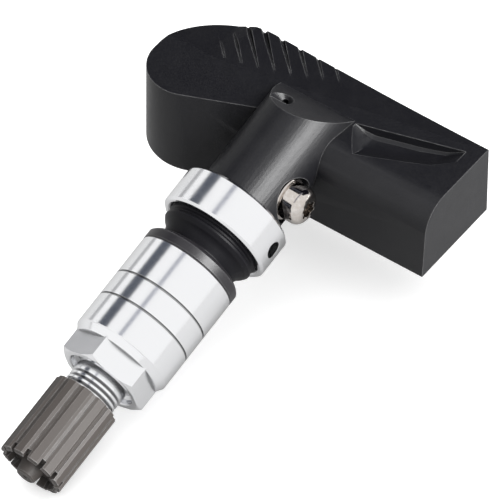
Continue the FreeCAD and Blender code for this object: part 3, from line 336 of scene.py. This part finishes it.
def edge_mask():
    """A mask along sharp outer edges, broken up in patches, where the finishes paint a highlight."""
    build, given, result = new_group(
        "Edge mask",
        {"Width": ("NodeSocketFloat", 0.0002), "Break-up": ("NodeSocketFloat", 0.5)},
        {"Mask": "NodeSocketFloat"})
    rounded = build.add("ShaderNodeBevel", samples=6)
    build.link(given["Width"], rounded.inputs["Radius"])
    geometry = build.add("ShaderNodeNewGeometry")
    same = build.add("ShaderNodeVectorMath", operation="DOT_PRODUCT")
    build.link(rounded.outputs[0], same.inputs[0])
    build.link(geometry.outputs["Normal"], same.inputs[1])
    edge = build.spread(same.outputs["Value"], 0.995, 0.9)
    place = build.add("ShaderNodeTexCoord").outputs["Object"]
    patches = build.spread(build.noise(place, 900.0, detail=3.0), 0.35, 0.65)
    kept = build.math("SUBTRACT", 1.0, build.math("MULTIPLY", patches, given["Break-up"]))
    build.link(build.math("MULTIPLY", edge, kept, clamp=True), result["Mask"])
    return build.tree


def painted_crevice_shade():
    """Painted shade: a mask of grooves, bores and inner corners, found by ambient occlusion, for
    darkening the colour there.
    """
    build, given, result = new_group(
        "Painted crevice shade",
        {"Reach": ("NodeSocketFloat", 0.0006), "Strength": ("NodeSocketFloat", 1.0)},
        {"Mask": "NodeSocketFloat"})
    open_sky = build.add("ShaderNodeAmbientOcclusion", samples=8, only_local=True)
    build.link(given["Reach"], open_sky.inputs["Distance"])
    closed = build.spread(open_sky.outputs["AO"], 0.95, 0.45)
    build.link(build.math("MULTIPLY", closed, given["Strength"], clamp=True), result["Mask"])
    return build.tree


def settled_dust():
    """Light dust and handling marks, in fine specks and soft clouds."""
    build, given, result = new_group(
        "Settled dust",
        {"Amount": ("NodeSocketFloat", 0.1)},
        {"Mask": "NodeSocketFloat"})
    place = build.add("ShaderNodeTexCoord").outputs["Object"]
    specks = build.spread(build.noise(place, 5200.0, detail=1.0), 0.66, 0.78)
    clouds = build.spread(build.noise(place, 300.0, detail=4.0), 0.4, 0.75)
    laid = build.math("ADD", specks, build.math("MULTIPLY", clouds, 0.35))
    build.link(build.math("MULTIPLY", laid, given["Amount"], clamp=True), result["Mask"])
    return build.tree


GROUPS = {}


def shared_group(maker):
    if maker not in GROUPS:
        GROUPS[maker] = maker()
    return GROUPS[maker]


class Finish:
    """A Principled material under construction."""

    def __init__(self, name, **sockets):
        self.material = bpy.data.materials.new(name)
        self.material.use_nodes = True
        self.build = NodeBuilder(self.material.node_tree)
        self.build.tree.nodes.clear()
        self.shader = self.build.add("ShaderNodeBsdfPrincipled")
        output = self.build.add("ShaderNodeOutputMaterial")
        self.build.link(self.shader.outputs["BSDF"], output.inputs["Surface"])
        for socket, value in sockets.items():
            self.shader.inputs[socket.replace("_", " ")].default_value = value

    def group(self, maker, **values):
        node = self.build.add("ShaderNodeGroup", node_tree=shared_group(maker))
        for name, value in values.items():
            node.inputs[name.replace("_", " ")].default_value = value
        return node.outputs

    def set(self, socket, source):
        self.build.feed(self.shader.inputs[socket], source)

    def bump(self, height, distance, strength=1.0, below=None):
        node = self.build.add("ShaderNodeBump")
        self.build.feed(node.inputs["Height"], height)
        node.inputs["Distance"].default_value = distance
        node.inputs["Strength"].default_value = strength
        if below is not None:
            self.build.link(below, node.inputs["Normal"])
        self.build.link(node.outputs["Normal"], self.shader.inputs["Normal"])
        return node.outputs["Normal"]

    def rounded_normal(self, radius):
        node = self.build.add("ShaderNodeBevel", samples=6)
        node.inputs["Radius"].default_value = radius
        return node.outputs[0]


def opaque(colour):
    return (*colour, 1.0)


def darker(colour, amount):
    return tuple(channel * (1.0 - amount) for channel in colour)


def lighter(colour, amount):
    return tuple(channel + (1.0 - channel) * amount for channel in colour)


# ---------------------------------------------------------------- finishes


def moulded_plastic(name, colour, roughness=0.40, edge=0.18, gloss=0.34):
    finish = Finish(name, IOR=PLASTIC_IOR, Specular_IOR_Level=gloss)
    grain_of = finish.group(moulded_grain, Grain_size=PLASTIC_GRAIN, Roughness=roughness)
    edges = finish.group(edge_mask, Width=0.22 * MM)
    dust = finish.group(settled_dust, Amount=0.05)
    base = finish.build.mix_colour(grain_of["Shade"], opaque(colour), opaque(lighter(colour, 0.0015)))
    # Painted highlight: the colour is lightened along sharp edges, as much as edge times the edge mask.
    edge_highlit = finish.build.mix_colour(
        finish.build.math("MULTIPLY", edges["Mask"], edge), base, opaque(lighter(colour, 0.30)))
    dusty = finish.build.mix_colour(
        finish.build.math("MULTIPLY", dust["Mask"], 0.35), edge_highlit, opaque(lighter(colour, 0.12)))
    # Painted shade: the colour is darkened in grooves and inner corners.
    shade = finish.group(painted_crevice_shade, Reach=0.9 * MM, Strength=0.7)
    finish.set("Base Color", finish.build.mix_colour(shade["Mask"], dusty, opaque(darker(colour, 0.7))))
    finish.set("Roughness", grain_of["Roughness"])
    finish.bump(grain_of["Height"], PLASTIC_GRAIN_DEPTH)
    return finish.material


def turned_aluminium(name, colour, roughness=0.17, edge_radius=0.12 * MM):
    finish = Finish(name, Metallic=1.0)
    marks = finish.group(turning_marks, Roughness=roughness)
    edges = finish.group(edge_mask, Width=0.15 * MM)
    shade = finish.group(painted_crevice_shade, Reach=0.8 * MM, Strength=0.9)
    # Painted highlight: the colour is lightened along sharp edges.
    bright = finish.build.mix_colour(edges["Mask"], opaque(colour), opaque(lighter(colour, 0.5)))
    # Painted shade: the colour is darkened in grooves, bores and inner corners.
    crevice_shaded = finish.build.mix_colour(shade["Mask"], bright, opaque(darker(colour, 0.75)))
    # Painted shade: the colour is darkened towards the outline, where the surface turns away from the
    # camera.
    facing = finish.build.add("ShaderNodeLayerWeight")
    facing.inputs["Blend"].default_value = 0.5
    rim = finish.build.spread(facing.outputs["Facing"], 0.45, 1.0, 0.0, 0.75)
    finish.set("Base Color", finish.build.mix_colour(rim, crevice_shaded, opaque(darker(colour, 0.4))))
    finish.set("Roughness", marks["Roughness"])
    finish.bump(marks["Height"], TOOL_MARK_DEPTH, below=finish.rounded_normal(edge_radius))
    return finish.material


def plated_metal(name, colour, roughness=0.12, scratches=0.5, edge_radius=0.08 * MM):
    finish = Finish(name, Metallic=1.0)
    place = finish.build.add("ShaderNodeTexCoord").outputs["Object"]
    cloud = finish.build.noise(place, 1800.0, detail=3.0)
    fine = finish.build.noise(place, 24000.0, detail=2.0)
    # Painted shade: the colour is darkened in grooves and inner corners.
    shade = finish.group(painted_crevice_shade, Reach=0.5 * MM, Strength=0.9)
    tone = finish.build.mix_colour(
        finish.build.spread(cloud, 0.35, 0.7), opaque(colour), opaque(lighter(colour, 0.25)))
    finish.set("Base Color", finish.build.mix_colour(shade["Mask"], tone, opaque(darker(colour, 0.85))))
    rough = finish.build.math("MULTIPLY", finish.build.math("SUBTRACT", cloud, 0.4), 0.2 * scratches)
    finish.set("Roughness", finish.build.math("ADD", rough, roughness, clamp=True))
    finish.bump(fine, SCRATCH_DEPTH * scratches, below=finish.rounded_normal(edge_radius))
    return finish.material


def moulded_rubber(name, colour, roughness=0.42, gloss=0.10):
    finish = Finish(name, IOR=PLASTIC_IOR, Specular_IOR_Level=gloss)
    grain_of = finish.group(moulded_grain, Grain_size=RUBBER_GRAIN, Roughness=roughness, Drift=0.15)
    dust = finish.group(settled_dust, Amount=0.3)
    shade = finish.build.mix_colour(grain_of["Shade"], opaque(colour), opaque(lighter(colour, 0.002)))
    dusty = finish.build.mix_colour(
        finish.build.math("MULTIPLY", dust["Mask"], 0.12), shade, opaque(lighter(colour, 0.06)))
    finish.set("Base Color", dusty)
    finish.set("Roughness", grain_of["Roughness"])
    finish.bump(
        grain_of["Height"], RUBBER_GRAIN_DEPTH, below=finish.rounded_normal(RUBBER_EDGE_RADIUS))
    return finish.material


# ---------------------------------------------------------------- pieces


def wear(node, material):
    """Puts a material on a carried-over piece."""
    mesh = frame["nodes"][node].data
    mesh.materials.clear()
    mesh.materials.append(material)


def rounded_copy(node, width, steps):
    """The same piece with its sharp edges rounded, in place of the plain one."""
    mesh = frame["nodes"][node].data.copy()
    mesh.name = f"{node}_rounded"
    work = bmesh.new()
    work.from_mesh(mesh)
    bmesh.ops.remove_doubles(work, verts=work.verts, dist=MERGE_DISTANCE)
    bmesh.ops.dissolve_limit(work, angle_limit=FLAT_ANGLE, verts=work.verts, edges=work.edges)
    work.to_mesh(mesh)
    work.free()
    piece = bpy.data.objects.new(f"{node}_rounded", mesh)
    bpy.context.scene.collection.objects.link(piece)
    bevel = piece.modifiers.new("Rounded edges", "BEVEL")
    bevel.width = width
    bevel.segments = steps
    bevel.limit_method = "ANGLE"
    bevel.angle_limit = ROUNDED_EDGE_ANGLE
    bevel.miter_outer = "MITER_ARC"
    bevel.harden_normals = False
    mesh.shade_smooth()
    mesh.set_sharp_from_angle(angle=CREASE_ANGLE)
    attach(piece, BODY_OF_NODE[node])
    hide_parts(node)
    return piece


class SENSOR_OT_housing(bpy.types.Operator):
    """Round the housing's moulded edges and give it its black plastic"""

    bl_idname = "sensor.housing"
    bl_label = "Housing and base cover"

    def execute(self, context):
        chosen = context.scene.sensor_finish
        plastic = moulded_plastic("Housing plastic", chosen.housing_colour)
        housing = rounded_copy("housing", chosen.housing_edge, chosen.edge_steps)
        housing.data.materials.clear()
        housing.data.materials.append(plastic)
        wear("base_cover", moulded_plastic("Cover plastic", chosen.housing_colour, roughness=0.5))
        return {"FINISHED"}


class SENSOR_OT_valve(bpy.types.Operator):
    """Give the valve stem and the sleeve nut their turned aluminium"""

    bl_idname = "sensor.valve"
    bl_label = "Valve stem and nut"

    def execute(self, context):
        chosen = context.scene.sensor_finish
        wear("valve_stem", turned_aluminium("Turned valve", chosen.aluminium_colour))
        wear("sleeve_nut", turned_aluminium("Turned nut", chosen.aluminium_colour))
        return {"FINISHED"}


class SENSOR_OT_seals(bpy.types.Operator):
    """Give the rim seal its rubber and the washer its dark plastic"""

    bl_idname = "sensor.seals"
    bl_label = "Rim seal and nut washer"

    def execute(self, context):
        chosen = context.scene.sensor_finish
        wear("rim_seal", moulded_rubber("Seal rubber", chosen.rubber_colour))
        wear("nut_washer", moulded_plastic(
            "Washer plastic", chosen.washer_colour, roughness=0.38, gloss=0.4))
        return {"FINISHED"}


class SENSOR_OT_cap(bpy.types.Operator):
    """Give the cap its warm grey plastic and the liner its rubber"""

    bl_idname = "sensor.cap"
    bl_label = "Valve cap and liner"

    def execute(self, context):
        chosen = context.scene.sensor_finish
        wear("cap_body", moulded_plastic(
            "Cap plastic", chosen.cap_colour, roughness=0.5, edge=0.3, gloss=0.3))
        wear("cap_seal", moulded_rubber("Cap liner rubber", lighter(chosen.rubber_colour, 0.04)))
        return {"FINISHED"}


class SENSOR_OT_core(bpy.types.Operator):
    """Give the valve core its plated brass, seals and spring wire"""

    bl_idname = "sensor.core"
    bl_label = "Valve core"

    def execute(self, context):
        plated = plated_metal("Core brass", (0.72, 0.58, 0.36), roughness=0.25)
        for node in ("core_plug", "core_barrel", "core_pin", "core_cup"):
            wear(node, plated)
        compound = moulded_rubber("Core seal compound", (0.25, 0.02, 0.012))
        for node in ("core_barrel_seal", "core_cup_seal"):
            wear(node, compound)
        wear("core_spring", plated_metal("Spring wire", (0.55, 0.55, 0.56), roughness=0.3))
        return {"FINISHED"}


class SENSOR_OT_screw(bpy.types.Operator):
    """Give the fixing screw and its washer their bright plate"""

    bl_idname = "sensor.screw"
    bl_label = "Fixing screw and washer"

    def execute(self, context):
        chosen = context.scene.sensor_finish
        plate = plated_metal("Screw plate", chosen.screw_colour, roughness=0.1)
        wear("fixing_screw", plate)
        wear("screw_washer", plate)
        return {"FINISHED"}


class SENSOR_OT_electronics(bpy.types.Operator):
    """Give the sealed electronics their board, metal, epoxy and ceramic finishes"""

    bl_idname = "sensor.electronics"
    bl_label = "Sealed electronics"

    def execute(self, context):
        wear("circuit_board", moulded_plastic("Board laminate", (0.012, 0.10, 0.035), roughness=0.3))
        cell = plated_metal("Cell can", (0.72, 0.72, 0.70), roughness=0.22)
        wear("coin_cell", cell)
        nickel = plated_metal("Nickel strip", (0.66, 0.64, 0.60), roughness=0.28)
        for node in ("battery_tab_positive", "battery_tab_negative"):
            wear(node, nickel)
        wear("crystal", plated_metal("Crystal can", (0.75, 0.75, 0.76), roughness=0.2))
        copper = plated_metal("Enamelled copper", (0.75, 0.30, 0.14), roughness=0.3)
        for node in ("lf_coil_winding", "antenna"):
            wear(node, copper)
        epoxy = moulded_plastic("Chip epoxy", (0.012, 0.012, 0.013), roughness=0.55)
        for node in ("pressure_sensor", "chip_resistors"):
            wear(node, epoxy)
        wear("lf_coil_core", moulded_plastic("Ferrite", (0.03, 0.03, 0.034), roughness=0.6))
        wear("chip_capacitors", moulded_plastic("Chip ceramic", (0.22, 0.12, 0.06), roughness=0.5))
        wear("port_gasket", moulded_rubber("Gasket silicone", (0.05, 0.05, 0.055)))
        return {"FINISHED"}


# ---------------------------------------------------------------- studio


def camera_axes(studio):
    """The camera's right, up and backward directions."""
    turn, tip = studio.azimuth, studio.elevation
    right = Vector((math.cos(turn), math.sin(turn), 0.0))
    back = Vector((math.sin(turn) * math.cos(tip), -math.cos(turn) * math.cos(tip), math.sin(tip)))
    return right, back.cross(right), back


def mirrored(back, normal):
    """Where a surface with this normal looks, seen from the camera."""
    return 2.0 * back.dot(normal) * normal - back


def valve_normal(studio, angle):
    """The normal of the valve's barrel at an angle from its middle, positive to the right."""
    right, _, back = camera_axes(studio)
    middle = (back - back.dot(VALVE_AXIS) * VALVE_AXIS).normalized()
    side = VALVE_AXIS.cross(middle)
    if side.dot(right) < 0.0:
        side.negate()
    return math.cos(angle) * middle + math.sin(angle) * side


def card_matrix(centre, towards, lengthwise):
    """Faces a card to a point, with its length along a direction."""
    facing = (towards - centre).normalized()
    across = lengthwise.cross(facing).normalized()
    along = facing.cross(across)
    turn = Matrix((across, along, facing)).transposed().to_4x4()
    return Matrix.Translation(centre) @ turn


def reflected_card(name, direction, distance, width, length, colour, lengthwise=VALVE_AXIS):
    """A card that only shows in gloss: it gives metal its dark bands and plastic its dark top."""
    half_width, half_length = width / 2, length / 2
    corners = [(-half_width, -half_length, 0), (half_width, -half_length, 0),
               (half_width, half_length, 0), (-half_width, half_length, 0)]
    mesh = bpy.data.meshes.new(name)
    mesh.from_pydata(corners, [], [(0, 1, 2, 3)])
    card = bpy.data.objects.new(name, mesh)
    bpy.context.scene.collection.objects.link(card)
    card.matrix_world = card_matrix(direction.normalized() * distance, RIM_SEAT, lengthwise)
    material = bpy.data.materials.new(name)
    material.use_nodes = True
    build = NodeBuilder(material.node_tree)
    build.tree.nodes.clear()
    glow = build.add("ShaderNodeEmission")
    glow.inputs["Color"].default_value = opaque(colour)
    output = build.add("ShaderNodeOutputMaterial")
    build.link(glow.outputs[0], output.inputs["Surface"])
    mesh.materials.append(material)
    card.visible_camera = False
    card.visible_diffuse = False
    card.visible_shadow = False
    card.visible_transmission = False
    card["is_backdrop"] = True
    return card


def soft_light(name, direction, distance, width, length, power, lengthwise=VALVE_AXIS):
    lamp = bpy.data.lights.new(name, "AREA")
    lamp.shape = "RECTANGLE"
    lamp.size = width
    lamp.size_y = length
    lamp.energy = power
    light = bpy.data.objects.new(name, lamp)
    bpy.context.scene.collection.objects.link(light)
    centre = direction.normalized() * distance
    light.matrix_world = card_matrix(centre, RIM_SEAT, lengthwise) @ Matrix.Rotation(math.pi, 4, "Y")
    light.visible_camera = False
    return light


def light_only(light, nodes):
    """Keeps a light to some pieces, so that it draws a sheen on plastic without burning out metal."""
    lit = bpy.data.collections.new(f"{light.name} lit")
    pieces = [item for item in bpy.context.scene.objects if item.name.split("_rounded")[0] in nodes]
    for piece in pieces:
        lit.objects.link(piece)
    if not pieces:
        raise RuntimeError("no piece is left for the light")
    light.light_linking.receiver_collection = lit


def make_floor(studio):
    low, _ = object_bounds()
    half = FLOOR_HALF_WIDTH
    mesh = bpy.data.meshes.new("floor")
    mesh.from_pydata([(-half, -half, 0), (half, -half, 0), (half, half, 0), (-half, half, 0)], [],
                     [(0, 1, 2, 3)])
    floor = bpy.data.objects.new("floor", mesh)
    bpy.context.scene.collection.objects.link(floor)
    floor.location.z = low.z - FLOOR_GAP
    finish = Finish("Floor paper", Roughness=0.9)
    path = finish.build.add("ShaderNodeLightPath").outputs
    faded = darker(studio.floor_colour, studio.floor_fade)
    finish.set("Base Color", finish.build.mix_colour(
        path["Is Glossy Ray"], opaque(studio.floor_colour), opaque(faded)))
    finish.set("Emission Color", opaque(studio.floor_colour))
    finish.set("Emission Strength", finish.build.math(
        "MULTIPLY", path["Is Camera Ray"], studio.floor_lift))
    mesh.materials.append(finish.material)
    floor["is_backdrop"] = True


def make_world(studio):
    world = bpy.data.worlds.new("White walls")
    world.use_nodes = True
    background = world.node_tree.nodes["Background"]
    background.inputs["Color"].default_value = (1.0, 1.0, 1.0, 1.0)
    background.inputs["Strength"].default_value = studio.surroundings
    bpy.context.scene.world = world


def make_camera(studio):
    right, up, back = camera_axes(studio)
    data = bpy.data.cameras.new("camera")
    data.sensor_width = 36.0
    data.lens = studio.focal_length
    data.clip_start = 0.01
    data.clip_end = 20.0
    camera = bpy.data.objects.new("camera", data)
    bpy.context.scene.collection.objects.link(camera)
    aim = RIM_SEAT + right * studio.aim_right + up * studio.aim_up
    turn = Matrix((right, up, back)).transposed().to_4x4()
    camera.matrix_world = Matrix.Translation(aim + back * studio.distance) @ turn
    bpy.context.scene.camera = camera


class SENSOR_OT_studio(bpy.types.Operator):
    """Set up the pale floor, the soft light with its dark cards, and the camera"""

    bl_idname = "sensor.studio"
    bl_label = "Studio"

    def execute(self, context):
        studio = context.scene.sensor_studio
        _, _, back = camera_axes(studio)
        make_floor(studio)
        make_world(studio)
        make_camera(studio)

        def seen_on_valve(angle):
            return mirrored(back, valve_normal(studio, math.radians(angle)))

        key = soft_light(
            "key", seen_on_valve(13.0), distance=0.9, width=0.50, length=1.2, power=studio.key_power)
        light_only(key, MOULDED_NODES)
        overhead = soft_light(
            "overhead", UPWARDS, distance=1.6, width=2.4, length=2.4, power=studio.overhead_power)
        overhead.visible_glossy = False
        for name, angle, width, colour in BARREL_CARDS:
            reflected_card(name, seen_on_valve(angle), CARD_DISTANCE, width, CARD_LENGTH, colour)
        reflected_card(
            "dark_card_over_top", mirrored(back, UPWARDS) + TOP_CARD_SHIFT, TOP_CARD_DISTANCE,
            TOP_CARD_SIZE, TOP_CARD_SIZE, TOP_CARD_COLOUR, lengthwise=Vector((1.0, 0.0, 0.0)))
        context.scene.view_settings.view_transform = "Standard"
        return {"FINISHED"}


# ---------------------------------------------------------------- add-on


class SENSOR_PT_panel(bpy.types.Panel):
    """Lists the sensor's pieces and the studio"""

    bl_label = "Pressure Sensor"
    bl_idname = "SENSOR_PT_panel"
    bl_space_type = "VIEW_3D"
    bl_region_type = "UI"
    bl_category = "Pressure Sensor"

    def draw(self, context):
        column = self.layout.column(align=True)
        for operator in OPERATORS:
            column.operator(operator.bl_idname)
        for group in (context.scene.sensor_finish, context.scene.sensor_studio):
            box = self.layout.box()
            for name in group.__annotations__:
                box.prop(group, name)


OPERATORS = (
    SENSOR_OT_housing,
    SENSOR_OT_valve,
    SENSOR_OT_seals,
    SENSOR_OT_cap,
    SENSOR_OT_core,
    SENSOR_OT_screw,
    SENSOR_OT_electronics,
    SENSOR_OT_studio,
)
CLASSES = (SENSOR_PG_studio, SENSOR_PG_finish, *OPERATORS, SENSOR_PT_panel)


def register():
    for item in CLASSES:
        bpy.utils.register_class(item)
    bpy.types.Scene.sensor_studio = PointerProperty(type=SENSOR_PG_studio)
    bpy.types.Scene.sensor_finish = PointerProperty(type=SENSOR_PG_finish)


def unregister():
    del bpy.types.Scene.sensor_finish
    del bpy.types.Scene.sensor_studio
    for item in reversed(CLASSES):
        bpy.utils.unregister_class(item)


def main():
    register()
    bpy.ops.sensor.housing()
    bpy.ops.sensor.valve()
    bpy.ops.sensor.seals()
    bpy.ops.sensor.cap()
    bpy.ops.sensor.core()
    bpy.ops.sensor.screw()
    bpy.ops.sensor.electronics()
    bpy.ops.sensor.studio()


if __name__ == "__main__":
    main()
